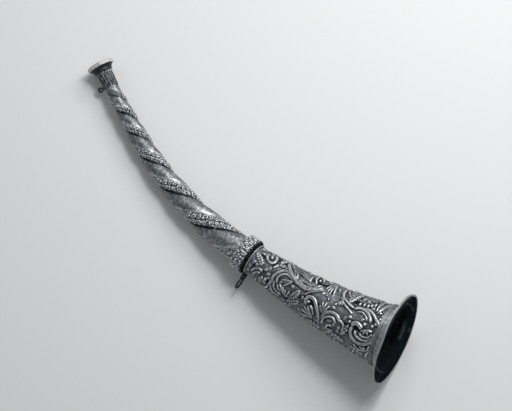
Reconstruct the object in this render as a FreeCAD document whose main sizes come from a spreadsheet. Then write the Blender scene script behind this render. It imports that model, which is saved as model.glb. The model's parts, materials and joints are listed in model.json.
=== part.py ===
import FreeCAD, Part
import math
import os

import Sketcher

# A curved metal hunting horn. Its mouthpiece plugs into a tapering twisted tube, which carries two
# garlands and runs through a leaf wreath into a conical bell with a wide flat mouth.
# Everything is laid out along one centre line, first in the plane of its curve: it starts at the
# lip plate and runs to the mouth of the bell. Then the horn is laid down on its belly, so that it
# rests on the rim of the bell, on the wreath and on the lip plate. +Z is up, +X runs from the
# mouthpiece to the bell, and the origin is below the middle of the horn.

Vector = FreeCAD.Vector

SIZES = [
    # Centre line
    ("lead_length", 40.0),
    ("upper_bend_length", 60.0),
    ("upper_bend_angle", 3.5),
    ("main_bend_length", 150.0),
    ("main_bend_angle", 23.5),
    ("joint_length", 32.0),
    ("bell_length", 157.0),
    ("bell_bend_angle", 12.0),
    # Fits
    ("seat_gap", 0.1),
    ("running_gap", 0.05),
    ("pull_gap", 0.3),
    ("overrun", 1.0),
    # Mouthpiece
    ("plate_radius", 14.7),
    ("plate_thickness", 4.2),
    ("plate_edge_round", 0.9),
    ("plate_turn", 17.0),
    ("cup_radius", 8.6),
    ("cup_foot_radius", 5.2),
    ("cup_depth", 6.0),
    ("throat_radius", 2.1),
    ("backbore_radius", 3.4),
    ("flange_radius", 12.9),
    ("flange_foot_radius", 10.6),
    ("flange_length", 2.8),
    ("shank_radius", 4.8),
    ("shank_length", 28.0),
    # Receiver
    ("ferrule_radius", 10.2),
    ("ferrule_foot_radius", 9.2),
    ("ferrule_length", 3.0),
    ("ferrule_step", 1.9),
    ("receiver_wall", 1.0),
    # Leaf collar
    ("collar_wall", 0.9),
    ("collar_length", 20.5),
    ("collar_leaf_rise", 0.9),
    ("collar_short_length", 11.5),
    ("collar_leaf_depth", 7.5),
    # Twisted tube
    ("tube_start_radius", 7.2),
    ("tube_end_radius", 15.1),
    ("tube_end_bore", 13.1),
    ("tube_tail", 14.0),
    ("band_rise", 0.9),
    ("band_fade", 26.0),
    ("twist_offset", 43.0),
    ("twist_growth", 1.26),
    ("twist_start", 39.1),
    # Garlands
    ("vine_height", 1.5),
    ("vine_edge", 0.35),
    ("vine_gap", 0.3),
    ("vine_start", 36.0),
    ("vine_end_gap", 1.2),
    # Wreath and collar at the joint
    ("wreath_radius", 20.0),
    ("wreath_gap", 0.45),
    ("wreath_length", 15.0),
    ("wreath_bevel", 3.4),
    ("wreath_place", 7.0),
    ("wreath_leaf_length", 6.6),
    ("wreath_leaf_width", 3.9),
    ("wreath_leaf_depth", 3.2),
    ("wreath_leaf_rise", 1.3),
    ("wreath_leaf_turn", 32.0),
    ("wreath_leaf_slope", 38.0),
    ("sleeve_wall", 1.2),
    ("sleeve_reach", 6.0),
    ("neck_radius", 15.4),
    ("neck_length", 3.6),
    ("bead_wire_radius", 1.0),
    ("socket_radius", 16.9),
    ("socket_reach", 4.0),
    # Bell
    ("bell_small_radius", 16.4),
    ("bell_throat_radius", 33.6),
    ("bell_wall", 1.2),
    ("flare_length", 11.0),
    ("flare_radius", 48.8),
    ("throat_ring_length", 4.0),
    ("throat_ring_height", 0.9),
    ("rim_wire_radius", 1.15),
    # Strap fittings
    ("lug_width", 4.6),
    ("lug_thickness", 2.6),
    ("lug_hole_radius", 1.6),
    ("lug_hole_place", 23.4),
    ("lug_round", 2.2),
    ("lug_place", 7.4),
    ("ring_radius", 6.2),
    ("ring_wire_radius", 1.1),
    ("ring_hang", 0.2),
    ("eye_radius", 2.9),
    ("eye_hole_radius", 1.35),
    ("eye_thickness", 1.8),
    ("eye_stem_width", 2.4),
    ("eye_place", 25.0),
    ("eye_height", 5.2),
]

COLLAR_LEAF_COUNT = 8
PLATE_SIDE_COUNT = 8
WREATH_LEAF_COUNT = 12
WIRE_SIDE_COUNT = 8
TUBE_SIDE_COUNT = 16
TUBE_SECTION_COUNT = 48
BORE_SECTION_COUNT = 8
BELL_SECTION_COUNT = 4
BELL_SIDE_COUNT = 40
REST_ROUND_COUNT = 60
REST_MESH_SHARE = 0.005

# Places round the tube, in degrees from the middle of a garland
BAND_CREST = -115.0
# Each garland's outline, from its bell side: places across it, in shares of a side of the tube,
# and the heights there in shares
VINE_ACROSS_SHARES = (-1.6, -1.0, 0.0, 1.0, 1.6)
VINE_HEIGHT_SHARES = (0.35, 1.0, 0.85, 0.6, 0.0)
# Half of a wreath leaf's outline, from its tip: shares of half its width and of half its length
WREATH_LEAF_SHARES = ((0.0, 1.0), (1.0, 0.1), (0.5, -1.0))
# The curve of the bell's mouth: shares of the way out to the rim, and of the way along
FLARE_SHARES = ((0.0, 0.14), (0.08, 0.56), (0.29, 0.87), (0.58, 1.0), (1.0, 1.0))
# How far the horn leans to its belly before the resting place is worked out
FIRST_LEAN = 22.0

os.makedirs("parts", exist_ok=True)
doc = FreeCAD.newDocument("hunting_horn")
sheet = doc.addObject("Spreadsheet::Sheet", "Sizes")
for row, (alias, value) in enumerate(SIZES, start=1):
    sheet.set(f"A{row}", alias)
    sheet.set(f"B{row}", str(value))
    sheet.setAlias(f"B{row}", alias)
doc.recompute()
size = {alias: float(sheet.get(alias)) for alias, _ in SIZES}


def total(*terms):
    """A sum of named sizes, as its value and as the expression that the document keeps.

    A term is a name, a name with a minus sign, or a pair of a share and a name.
    """
    value = 0.0
    words = []
    for term in terms:
        share, name = term if isinstance(term, tuple) else (1.0, term)
        if name.startswith("-"):
            share = -share
        alias = name.lstrip("-")
        value += share * size[alias]
        words.append(f"{share:+.9g} * Sizes.{alias}")
    return value, " ".join(words) or "0"


def spot(*names):
    return total(*names)[0]


def bind(feature, field, *names):
    feature.setExpression(field, total(*names)[1])


# Centre line

RUNS = [
    (spot("lead_length"), 0.0),
    (spot("upper_bend_length"), spot("upper_bend_angle")),
    (spot("main_bend_length"), spot("main_bend_angle")),
    (spot("joint_length"), 0.0),
    (spot("bell_length"), spot("bell_bend_angle")),
    (spot("flare_length"), 0.0),
]
JOINT_START = spot("lead_length", "upper_bend_length", "main_bend_length")
BELL_START = JOINT_START + spot("joint_length")
BELL_END = BELL_START + spot("bell_length")
FERRULE_START = spot("plate_thickness", "flange_length", "pull_gap")
TUBE_START = FERRULE_START + spot("ferrule_length")
TUBE_END = JOINT_START + spot("tube_tail")
RECEIVER_END = FERRULE_START + spot("shank_length")
BANDS_START = TUBE_START + spot("collar_length")
BANDS_END = JOINT_START + spot("wreath_place", "-seat_gap")


def station(distance, roll=0.0):
    """The place at a distance along the centre line: Z along it, Y to the belly, X to the front."""
    place = Vector()
    heading = 0.0
    left = distance
    for number, (length, bend) in enumerate(RUNS):
        last = number == len(RUNS) - 1
        step = left if last else min(left, length)
        turn = math.radians(bend) * step / length
        chord = step if turn == 0 else 2 * step / turn * math.sin(turn / 2)
        middle = heading + turn / 2
        place += Vector(math.cos(middle), math.sin(middle), 0) * chord
        heading += turn
        left -= step
        if left <= 0:
            break
    along = Vector(math.cos(heading), math.sin(heading), 0)
    belly = Vector(math.sin(heading), -math.cos(heading), 0)
    turned = FreeCAD.Rotation(Vector(0, 0, 1), belly, along, "ZXY")
    return FreeCAD.Placement(place, turned * FreeCAD.Rotation(Vector(0, 0, 1), roll))


def around(distance, angle, radius):
    """A point round the centre line, at an angle from the belly towards the front."""
    turn = math.radians(angle)
    return station(distance).multVec(Vector(radius * math.sin(turn), radius * math.cos(turn), 0))


# Features that several pieces share

def origin_plane(body, role):
    return [plane for plane in body.Origin.OriginFeatures if plane.Role == role][0]


def new_sketch(body, name, role):
    sketch = body.newObject("Sketcher::SketchObject", name)
    sketch.AttachmentSupport = (origin_plane(body, role), [""])
    sketch.MapMode = "FlatFace"
    return sketch


def outline(body, name, role, corners):
    """A closed outline of straight lines. Each corner is two sums of sizes, across and along."""
    sketch = new_sketch(body, name, role)
    places = [(spot(*across), spot(*along)) for across, along in corners]
    for start, end in zip(places, places[1:] + places[:1]):
        sketch.addGeometry(Part.LineSegment(Vector(*start, 0), Vector(*end, 0)), False)
    for line, (across, along) in enumerate(corners):
        follower = (line + 1) % len(corners)
        sketch.addConstraint(Sketcher.Constraint("Coincident", line, 2, follower, 1))
        for way, names in (("DistanceX", across), ("DistanceY", along)):
            rule = sketch.addConstraint(Sketcher.Constraint(way, -1, 1, line, 1, spot(*names)))
            bind(sketch, f"Constraints[{rule}]", *names)
    return sketch


def ring(body, name, role, radius, along=()):
    """A circle whose middle lies on the plane's upright axis."""
    sketch = new_sketch(body, name, role)
    circle = Part.Circle(Vector(0, spot(*along), 0), Vector(0, 0, 1), spot(*radius))
    sketch.addGeometry(circle, False)
    for way, names in (("DistanceX", ()), ("DistanceY", along)):
        rule = sketch.addConstraint(Sketcher.Constraint(way, -1, 1, 0, 3, spot(*names)))
        bind(sketch, f"Constraints[{rule}]", *names)
    rule = sketch.addConstraint(Sketcher.Constraint("Radius", 0, spot(*radius)))
    bind(sketch, f"Constraints[{rule}]", *radius)
    return sketch


def turned_body(name, corners):
    """A body turned about its own Z axis from an outline of radius and height."""
    body = doc.addObject("PartDesign::Body", name)
    turned = body.newObject("PartDesign::Revolution", name + "_turned")
    turned.Profile = outline(body, name + "_profile", "XZ_Plane", corners)
    turned.ReferenceAxis = (turned.Profile[0], ["V_Axis"])
    turned.Angle = 360
    body.Tip = turned
    doc.recompute()
    return body


def padded(body, sketch, *length, both_ways=False):
    pad = body.newObject("PartDesign::Pad", sketch.Name + "_pad")
    pad.Profile = sketch
    pad.Midplane = both_ways
    bind(pad, "Length", *length)
    body.Tip = pad
    return pad


def cut_through(body, sketch):
    """A cut on both sides of its sketch, right through the body."""
    pocket = body.newObject("PartDesign::Pocket", sketch.Name + "_cut")
    pocket.Profile = sketch
    pocket.Type = "ThroughAll"
    pocket.Midplane = True
    body.Tip = pocket
    doc.recompute()
    return pocket


def bevelled(body, edges, *depth):
    """The body with some edges bevelled, each given by its name in the tip's shape."""
    blank = body.Tip
    bevel = body.newObject("PartDesign::Chamfer", body.Name + "_bevel")
    bevel.Base = (blank, edges)
    bind(bevel, "Size", *depth)
    body.Tip = bevel
    doc.recompute()


def rounded(body, edges, *radius):
    """The body with some edges rounded, each given by its name in the tip's shape."""
    blank = body.Tip
    fillet = body.newObject("PartDesign::Fillet", body.Name + "_round" + str(len(body.Group)))
    fillet.Base = (blank, edges)
    bind(fillet, "Radius", *radius)
    body.Tip = fillet
    doc.recompute()


def wire_ring(name, middle, wire):
    """A wire bent into a ring about its own Z axis, with a many-sided section."""
    corners = []
    for side in range(WIRE_SIDE_COUNT):
        turn = 2 * math.pi * (side + 0.5) / WIRE_SIDE_COUNT
        corners.append((middle + ((math.cos(turn), wire),), ((math.sin(turn), wire),)))
    return turned_body(name, corners)


def circles_at(shape, radius, height):
    """The names of the round edges with a radius, at a height on the body's own axis."""
    near = spot("seat_gap")
    names = []
    for number, edge in enumerate(shape.Edges, start=1):
        if isinstance(edge.Curve, Part.Circle):
            level = edge.Curve.Center.z
            if abs(edge.Curve.Radius - radius) < near and abs(level - height) < near:
                names.append(f"Edge{number}")
    return names


def loft_of(name, radii, sides=None):
    """A loft through circles on the centre line, or polygons where sides are given."""
    sections = []
    for number, (distance, radius, names) in enumerate(radii):
        kind, field = ("Part::RegularPolygon", "Circumradius") if sides else ("Part::Circle", "Radius")
        section = doc.addObject(kind, f"{name}_{number}")
        if sides:
            section.Polygon = sides
        setattr(section, field, radius)
        if names:
            bind(section, field, *names)
        section.Placement = station(distance)
        sections.append(section)
    loft = doc.addObject("Part::Loft", name)
    loft.Sections = sections
    loft.Solid = True
    loft.Ruled = sides is None
    return loft


def less(name, base, tool):
    cut = doc.addObject("Part::Cut", name)
    cut.Base = base
    cut.Tool = tool
    return cut


pieces = []


def keep(feature, place=None):
    """Notes a finished piece, with its place before the horn is laid down."""
    feature.Label = feature.Name
    pieces.append((feature, place or FreeCAD.Placement()))
    return feature


# Mouthpiece: an eight-sided lip plate, with its cup, on a turned shank

plate = doc.addObject("PartDesign::Body", "mouthpiece_plate")
prism = plate.newObject("PartDesign::AdditivePrism", "plate_blank")
prism.Polygon = PLATE_SIDE_COUNT
bind(prism, "Circumradius", "plate_radius")
bind(prism, "Height", "plate_thickness")
plate.Tip = prism
doc.recompute()
rim_edges = [
    f"Edge{number}"
    for number, edge in enumerate(prism.Shape.Edges, start=1)
    if max(vertex.Z for vertex in edge.Vertexes) < spot("seat_gap")
]
rounded(plate, rim_edges, "plate_edge_round")
cup = plate.newObject("PartDesign::Groove", "plate_cup")
cup.Profile = outline(plate, "cup_profile", "XZ_Plane", [
    ((), ("-overrun",)),
    (("cup_radius",), ("-overrun",)),
    (("cup_radius",), ()),
    (("cup_foot_radius",), ("plate_thickness",)),
    (("cup_foot_radius",), ("plate_thickness", "overrun")),
    ((), ("plate_thickness", "overrun")),
])
cup.ReferenceAxis = (cup.Profile[0], ["V_Axis"])
cup.Angle = 360
plate.Tip = cup
keep(plate, station(0, -spot("plate_turn")))

shank_end = ("plate_thickness", "flange_length", "pull_gap", "shank_length", "-overrun")
shank = turned_body("mouthpiece_shank", [
    (("cup_foot_radius",), ("plate_thickness",)),
    (("flange_radius",), ("plate_thickness",)),
    (("flange_foot_radius",), ("plate_thickness", "flange_length")),
    (("shank_radius",), ("plate_thickness", "flange_length")),
    (("shank_radius",), shank_end),
    (("backbore_radius",), shank_end),
    (("throat_radius",), ("plate_thickness", "cup_depth")),
])
keep(shank, station(0))

# Receiver: a stepped ring, and inside the tube the socket that takes the shank

receiver = turned_body("receiver_ferrule", [
    (("shank_radius", "running_gap"), ()),
    (("ferrule_radius",), ()),
    (("ferrule_radius",), ("ferrule_step",)),
    (("ferrule_foot_radius",), ("ferrule_length",)),
    (("shank_radius", "running_gap", "receiver_wall"), ("ferrule_length",)),
    (("shank_radius", "running_gap", "receiver_wall"), ("shank_length",)),
    (("shank_radius", "running_gap"), ("shank_length",)),
])
keep(receiver, station(FERRULE_START))

# Leaf collar: a sleeve with a long row of pointed leaves and a short row over it


def leaf_row(name, bore, wall, length):
    """A sleeve whose bell end is cut into pointed leaves."""
    row = turned_body(name, [
        (bore, ()),
        (bore + wall, ()),
        (bore + wall, length),
        (bore, length),
    ])
    half_leaf = spot(*bore, *wall) * math.tan(math.pi / COLLAR_LEAF_COUNT)
    sketch = new_sketch(row, name + "_notch", "XZ_Plane")
    deep = spot(*length) - spot("collar_leaf_depth")
    past = spot(*length) + spot("overrun")
    apex = Vector(0, deep, 0)
    bulge = Vector(half_leaf / 3, deep + spot("collar_leaf_depth") / 2, 0)
    wide = Vector(half_leaf, past, 0)
    mirror = (Vector(-bulge.x, bulge.y, 0), Vector(-wide.x, wide.y, 0))
    sketch.addGeometry(Part.Arc(apex, bulge, wide), False)
    sketch.addGeometry(Part.LineSegment(wide, mirror[1]), False)
    sketch.addGeometry(Part.Arc(mirror[1], mirror[0], apex), False)
    notch = row.newObject("PartDesign::Pocket", name + "_notches")
    notch.Profile = sketch
    bind(notch, "Length", *bore, *wall, "overrun")
    row.Tip = notch
    doc.recompute()
    whole = row.Shape.Volume
    pattern = row.newObject("PartDesign::PolarPattern", name + "_leaves")
    pattern.Originals = [notch]
    pattern.Axis = (sketch, ["V_Axis"])
    pattern.Angle = 360
    pattern.Occurrences = COLLAR_LEAF_COUNT
    row.Tip = pattern
    doc.recompute()
    assert row.Shape.Volume < whole, name
    return row


collar_bore = ("tube_start_radius", "seat_gap")
long_leaves = leaf_row("long_leaves", collar_bore, ("collar_wall",), ("collar_length",))
short_leaves = leaf_row(
    "short_leaves", collar_bore, ("collar_wall", "collar_leaf_rise"), ("collar_short_length",)
)
short_leaves.Placement = FreeCAD.Placement(
    Vector(), FreeCAD.Rotation(Vector(0, 0, 1), 180 / COLLAR_LEAF_COUNT)
)
collar = doc.addObject("Part::Fuse", "leaf_collar")
collar.Base = long_leaves
collar.Tool = short_leaves
keep(collar, station(TUBE_START, 180 / COLLAR_LEAF_COUNT))

# Twisted tube: two smooth bands swell and fade round a tapering tube, half a turn apart


def twist(distance):
    """Where the first garland lies round the tube, in degrees from the belly."""
    growth = (distance + spot("twist_offset")) / (spot("twist_start") + spot("twist_offset"))
    return 180 * math.log(growth) / math.log(spot("twist_growth"))


def untwist(angle):
    """The place along the centre line where the first garland lies at an angle."""
    growth = math.exp(angle / 180 * math.log(spot("twist_growth")))
    return growth * (spot("twist_start") + spot("twist_offset")) - spot("twist_offset")


def even_turns(start, end, count):
    """Places from start to end along the centre line, with the same turn between each two."""
    first = twist(start)
    step = (twist(end) - first) / count
    return [untwist(first + step * number) for number in range(count + 1)]


def mean_radius(distance):
    share = max(0.0, (distance - BANDS_START) / (TUBE_END - BANDS_START))
    return spot("tube_start_radius") + share * spot("tube_end_radius", "-tube_start_radius")


def tube_radius(distance, across):
    """The tube's outer radius at an angle from the middle of the first garland."""
    from_ends = min(distance - BANDS_START, BANDS_END - distance)
    fade = min(1.0, max(0.0, from_ends) / spot("band_fade"))
    swell = spot("band_rise") * (1 - math.cos(math.pi * fade)) / 2
    swell *= mean_radius(distance) / spot("tube_end_radius", "tube_start_radius") * 2
    lean = math.radians(2 * (across - BAND_CREST))
    return mean_radius(distance) + swell * math.cos(lean)


def tube_section(distance):
    points = []
    for side in range(TUBE_SIDE_COUNT):
        across = 360 * side / TUBE_SIDE_COUNT
        points.append(around(distance, twist(distance) + across, tube_radius(distance, across)))
    return Part.makePolygon(points + points[:1])


def bore_radius(distance):
    start = spot("shank_radius", "running_gap", "receiver_wall", "seat_gap")
    share = (distance - RECEIVER_END) / (JOINT_START - RECEIVER_END)
    share = min(1.0, max(0.0, share))
    return start + share * (spot("tube_end_bore") - start)


winding = even_turns(TUBE_START, TUBE_END, TUBE_SECTION_COUNT)
tube_blank = doc.addObject("Part::Feature", "tube_blank")
tube_blank.Shape = Part.makeLoft([tube_section(place) for place in winding], True)
bore_ends = (TUBE_START - spot("overrun"), RECEIVER_END)
bore_places = [
    RECEIVER_END + (JOINT_START - RECEIVER_END) * number / BORE_SECTION_COUNT
    for number in range(1, BORE_SECTION_COUNT + 1)
]
tube_bore = loft_of("tube_bore", [
    (place, bore_radius(place), ())
    for place in [*bore_ends, *bore_places, TUBE_END + spot("overrun")]
])
keep(less("twisted_tube", tube_blank, tube_bore))

# Garlands: two raised strips of leaves that wind along the tube in the dips between the bands


def vine_section(distance, shift):
    """One section across a garland: along the tube's skin, and back over the leaves."""
    height = spot("vine_height") * (1 + mean_radius(distance) / mean_radius(TUBE_END)) / 2
    places = [shift + share * 360 / TUBE_SIDE_COUNT for share in VINE_ACROSS_SHARES]
    floors = [tube_radius(distance, place) + spot("vine_gap") for place in places]
    tops = [
        level + spot("vine_edge") + share * height
        for level, share in zip(floors, VINE_HEIGHT_SHARES)
    ]
    there_and_back = list(zip(places, floors)) + list(zip(places, tops))[::-1]
    points = [
        around(distance, twist(distance) + place, radius) for place, radius in there_and_back
    ]
    return Part.makePolygon(points + points[:1])


vine_end = JOINT_START + spot("wreath_place", "-vine_end_gap")
vine_places = [place for place in winding if spot("vine_start") < place < vine_end]
for letter, shift in (("a", 0.0), ("b", 180.0)):
    vine = doc.addObject("Part::Feature", f"vine_strand_{letter}")
    vine.Shape = Part.makeLoft([vine_section(place, shift) for place in vine_places], True)
    keep(vine)

# Wreath: a thick round ring with overlapping leaves, over the end of the tube

wreath_bore = ("tube_end_radius", "wreath_gap")
wreath = turned_body("wreath_knop", [
    (wreath_bore, ()),
    (("wreath_radius",), ()),
    (("wreath_radius",), ("wreath_length",)),
    (wreath_bore, ("wreath_length",)),
])
wreath_edges = circles_at(wreath.Shape, spot("wreath_radius"), 0)
wreath_edges += circles_at(wreath.Shape, spot("wreath_radius"), spot("wreath_length"))
bevelled(wreath, wreath_edges, "wreath_bevel")
leaf_sketch = new_sketch(wreath, "wreath_leaf_outline", "YZ_Plane")
leaf_sketch.AttachmentOffset = FreeCAD.Placement(
    Vector(
        0, spot("wreath_length") / 2, spot("wreath_radius", "wreath_leaf_rise", "-wreath_leaf_depth")
    ),
    FreeCAD.Rotation(Vector(0, 0, 1), spot("wreath_leaf_turn")),
)
leaf_half = [
    Vector(across * spot("wreath_leaf_width"), along * spot("wreath_leaf_length"), 0)
    for across, along in WREATH_LEAF_SHARES
]
leaf_corners = leaf_half + [Vector(-point.x, point.y, 0) for point in leaf_half[:0:-1]]
for start, end in zip(leaf_corners, leaf_corners[1:] + leaf_corners[:1]):
    leaf_sketch.addGeometry(Part.LineSegment(start, end), False)
leaf_pad = padded(wreath, leaf_sketch, "wreath_leaf_depth")
bind(leaf_pad, "TaperAngle", (-1.0, "wreath_leaf_slope"))
doc.recompute()
leaves = wreath.newObject("PartDesign::PolarPattern", "wreath_leaves")
leaves.Originals = [leaf_pad]
leaves.Axis = (origin_plane(wreath, "Z_Axis"), [""])
leaves.Angle = 360
leaves.Occurrences = WREATH_LEAF_COUNT
wreath.Tip = leaves
cut_through(wreath, ring(wreath, "wreath_bore", "XY_Plane", wreath_bore))
keep(wreath, station(JOINT_START + spot("wreath_place")))

# Joint: an inner sleeve, a bright wire and the collar that closes the small end of the bell

sleeve_radius = ("tube_end_bore", "-seat_gap")
sleeve = turned_body("joint_sleeve", [
    (sleeve_radius + ("-sleeve_wall",), ()),
    (sleeve_radius, ()),
    (sleeve_radius, ("joint_length", "sleeve_reach")),
    (sleeve_radius + ("-sleeve_wall",), ("joint_length", "sleeve_reach")),
])
keep(sleeve, station(JOINT_START))

neck_start = ("wreath_place", "wreath_length", "seat_gap")
socket_bore = ("tube_end_bore",)
socket = turned_body("socket_collar", [
    (socket_bore, neck_start),
    (("neck_radius",), neck_start),
    (("neck_radius",), neck_start + ("neck_length",)),
    (("socket_radius",), neck_start + ("neck_length",)),
    (("socket_radius",), ("joint_length",)),
    (("bell_small_radius", "-bell_wall", "-seat_gap"), ("joint_length",)),
    (("bell_small_radius", "-bell_wall", "-seat_gap"), ("joint_length", "socket_reach")),
    (socket_bore, ("joint_length", "socket_reach")),
])
keep(socket, station(JOINT_START))

bead = wire_ring(
    "collar_bead", ("neck_radius", "seat_gap", "bead_wire_radius"), "bead_wire_radius"
)
keep(bead, station(JOINT_START + spot(*neck_start) + spot("neck_length") / 2))

# Bell: a thin cone on the last bend of the centre line, then the flat mouth with its wire


def bell_skin(*inset):
    """Circles along the bell, each given by its place and its radius."""
    sections = []
    for number in range(BELL_SECTION_COUNT):
        share = number / (BELL_SECTION_COUNT - 1)
        place = BELL_START + spot("seat_gap") + share * spot("bell_length", "-seat_gap")
        radius = spot("bell_small_radius", *inset)
        radius += share * spot("bell_throat_radius", "-bell_small_radius")
        sections.append((place, radius, ()))
    return sections


bell = less(
    "bell_body",
    loft_of("bell_outside", bell_skin(), BELL_SIDE_COUNT),
    loft_of("bell_inside", bell_skin("-bell_wall"), BELL_SIDE_COUNT),
)
keep(bell)

throat_bore = ("bell_throat_radius", "-bell_wall")


def flare_skin(throat, depth):
    """The outline of one skin of the mouth, from the throat out to the rim."""
    corners = [(throat, ("seat_gap",))]
    for out, along in FLARE_SHARES:
        back = tuple((-out, name) for name in throat)
        corners.append((
            throat + ((out, "flare_radius"),) + back,
            tuple((along, name) for name in depth),
        ))
    return corners


flare_back = flare_skin(("bell_throat_radius",), ("flare_length", "-bell_wall"))
flare_front = flare_skin(throat_bore, ("flare_length",))
flare = turned_body("bell_flare", flare_back + flare_front[::-1])
keep(flare, station(BELL_END))

throat_ring = turned_body("throat_ring", [
    (("bell_throat_radius", "seat_gap"), ()),
    (("bell_throat_radius", "seat_gap", "throat_ring_height"), ()),
    (("bell_throat_radius", "seat_gap", "throat_ring_height"), ("throat_ring_length",)),
    (("bell_throat_radius", "seat_gap"), ("throat_ring_length",)),
])
keep(throat_ring, station(BELL_END - spot("throat_ring_length")))

rim = wire_ring("rim_bead", ("flare_radius", "seat_gap", "rim_wire_radius"), "rim_wire_radius")
keep(rim, station(BELL_END + spot("flare_length") - spot("bell_wall") / 2))

# Strap fittings: a lug on the collar with its loose ring, and a small eye below the leaves

lug = doc.addObject("PartDesign::Body", "strap_lug")
half_width = spot("lug_width") / 2
lug_sketch = new_sketch(lug, "lug_outline", "YZ_Plane")
low = spot("neck_radius", "seat_gap", "bead_wire_radius", "bead_wire_radius", "seat_gap")
high = spot("lug_hole_place", "lug_round")
lug_corners = [(low, -half_width), (high, -half_width), (high, half_width), (low, half_width)]
for start, end in zip(lug_corners, lug_corners[1:] + lug_corners[:1]):
    lug_sketch.addGeometry(Part.LineSegment(Vector(*start, 0), Vector(*end, 0)), False)
padded(lug, lug_sketch, "lug_thickness", both_ways=True)
doc.recompute()
lug_edges = [
    f"Edge{number}"
    for number, edge in enumerate(lug.Shape.Edges, start=1)
    if min(vertex.Y for vertex in edge.Vertexes) > high - spot("seat_gap")
    and abs(edge.Vertexes[0].X - edge.Vertexes[-1].X) > spot("seat_gap")
]
rounded(lug, lug_edges, "lug_round")
lug_hole = new_sketch(lug, "lug_hole", "YZ_Plane")
lug_hole.addGeometry(
    Part.Circle(Vector(spot("lug_hole_place"), 0, 0), Vector(0, 0, 1), spot("lug_hole_radius")),
    False,
)
cut_through(lug, lug_hole)
lug_station = BELL_START - spot("lug_place")
keep(lug, station(lug_station))

strap_ring = wire_ring("strap_ring", ("ring_radius",), "ring_wire_radius")
ring_middle = Vector(0, spot("lug_hole_place", "ring_hang", "ring_radius"), 0)
keep(strap_ring, station(lug_station) * FreeCAD.Placement(ring_middle, FreeCAD.Rotation()))

eye = doc.addObject("PartDesign::Body", "upper_eye")
eye_middle = spot("tube_start_radius", "eye_height")
stem = new_sketch(eye, "eye_stem", "YZ_Plane")
stem_half = spot("eye_stem_width") / 2
stem_low = spot(*collar_bore, "collar_wall", "seat_gap")
stem_corners = [
    (stem_low, -stem_half),
    (eye_middle, -stem_half),
    (eye_middle, stem_half),
    (stem_low, stem_half),
]
for start, end in zip(stem_corners, stem_corners[1:] + stem_corners[:1]):
    stem.addGeometry(Part.LineSegment(Vector(*start, 0), Vector(*end, 0)), False)
padded(eye, stem, "eye_thickness", both_ways=True)
eye_disc = new_sketch(eye, "eye_disc", "YZ_Plane")
eye_disc.addGeometry(
    Part.Circle(Vector(eye_middle, 0, 0), Vector(0, 0, 1), spot("eye_radius")), False
)
padded(eye, eye_disc, "eye_thickness", both_ways=True)
doc.recompute()
eye_hole = new_sketch(eye, "eye_hole", "YZ_Plane")
eye_hole.addGeometry(
    Part.Circle(Vector(eye_middle, 0, 0), Vector(0, 0, 1), spot("eye_hole_radius")), False
)
cut_through(eye, eye_hole)
keep(eye, station(spot("eye_place")))

# Laying the horn down: the plane that touches the rim, the wreath and the lip plate is the floor


def surface_points(feature, place):
    fine = feature.Shape.BoundBox.DiagonalLength * REST_MESH_SHARE
    shape = feature.Shape.copy()
    shape.Placement = place
    return shape.tessellate(fine)[0]


doc.recompute()
feet = [
    surface_points(feature, place)
    for feature, place in pieces
    if feature.Name in ("mouthpiece_plate", "wreath_knop", "rim_bead")
]
lean = math.radians(FIRST_LEAN)
up = Vector(0, math.sin(lean), math.cos(lean))
for _ in range(REST_ROUND_COUNT):
    low_points = [min(points, key=up.dot) for points in feet]
    normal = (low_points[1] - low_points[0]).cross(low_points[2] - low_points[0])
    normal.normalize()
    if normal.dot(up) < 0:
        normal = normal * -1
    up = (up + normal).normalize()
forward = station(BELL_END).Base - station(0).Base
forward = (forward - up * forward.dot(up)).normalize()
laid = FreeCAD.Rotation(forward, up.cross(forward), up, "ZXY").inverted()

for feature, place in pieces:
    feature.Placement = FreeCAD.Placement(Vector(), laid) * place
doc.recompute()
whole = FreeCAD.BoundBox()
for feature, _ in pieces:
    whole.add(feature.Shape.optimalBoundingBox(False, False))
shift = Vector(-whole.Center.x, -whole.Center.y, -whole.ZMin)
rest = FreeCAD.Placement(shift, laid)
for feature, place in pieces:
    feature.Placement = rest * place
doc.recompute()

# Checks and files

for item in doc.Objects:
    if "Invalid" in item.State or "Error" in item.State:
        raise RuntimeError(f"{item.Name} failed: {item.State}")
for feature, _ in pieces:
    if feature.Shape.isNull() or not feature.Shape.isValid():
        raise RuntimeError(f"{feature.Label} has no sound shape")
    feature.Shape.exportStep(f"parts/{feature.Label}.step")


def told(vector):
    return ", ".join(f"{part:.5f}" for part in vector)


def say(name, distance, radius=0.0):
    """Prints a place on the belly side of the centre line, with the three directions there."""
    place = rest * station(distance)
    spin = place.Rotation
    print(name, told(place.multVec(Vector(0, radius, 0))))
    print("  along", told(spin.multVec(Vector(0, 0, 1))))
    print("  belly", told(spin.multVec(Vector(0, 1, 0))))
    print("  front", told(spin.multVec(Vector(1, 0, 0))))


print("size", f"{whole.XLength:.2f} x {whole.YLength:.2f} x {whole.ZLength:.2f} mm")
print("lean", f"{math.degrees(math.atan2(up.y, up.z)):.2f} degrees")
print("pieces", len(pieces))
say("mouthpiece", 0)
say("lug hole", lug_station, spot("lug_hole_place"))
say("ring", lug_station, ring_middle.y)
say("eye hole", spot("eye_place"), eye_middle)
say("bell start", BELL_START)
say("bell end", BELL_END)
say("mouth", BELL_END + spot("flare_length"))
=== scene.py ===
import json
import math

import bpy
import numpy as np
from mathutils import Matrix, Vector


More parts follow.
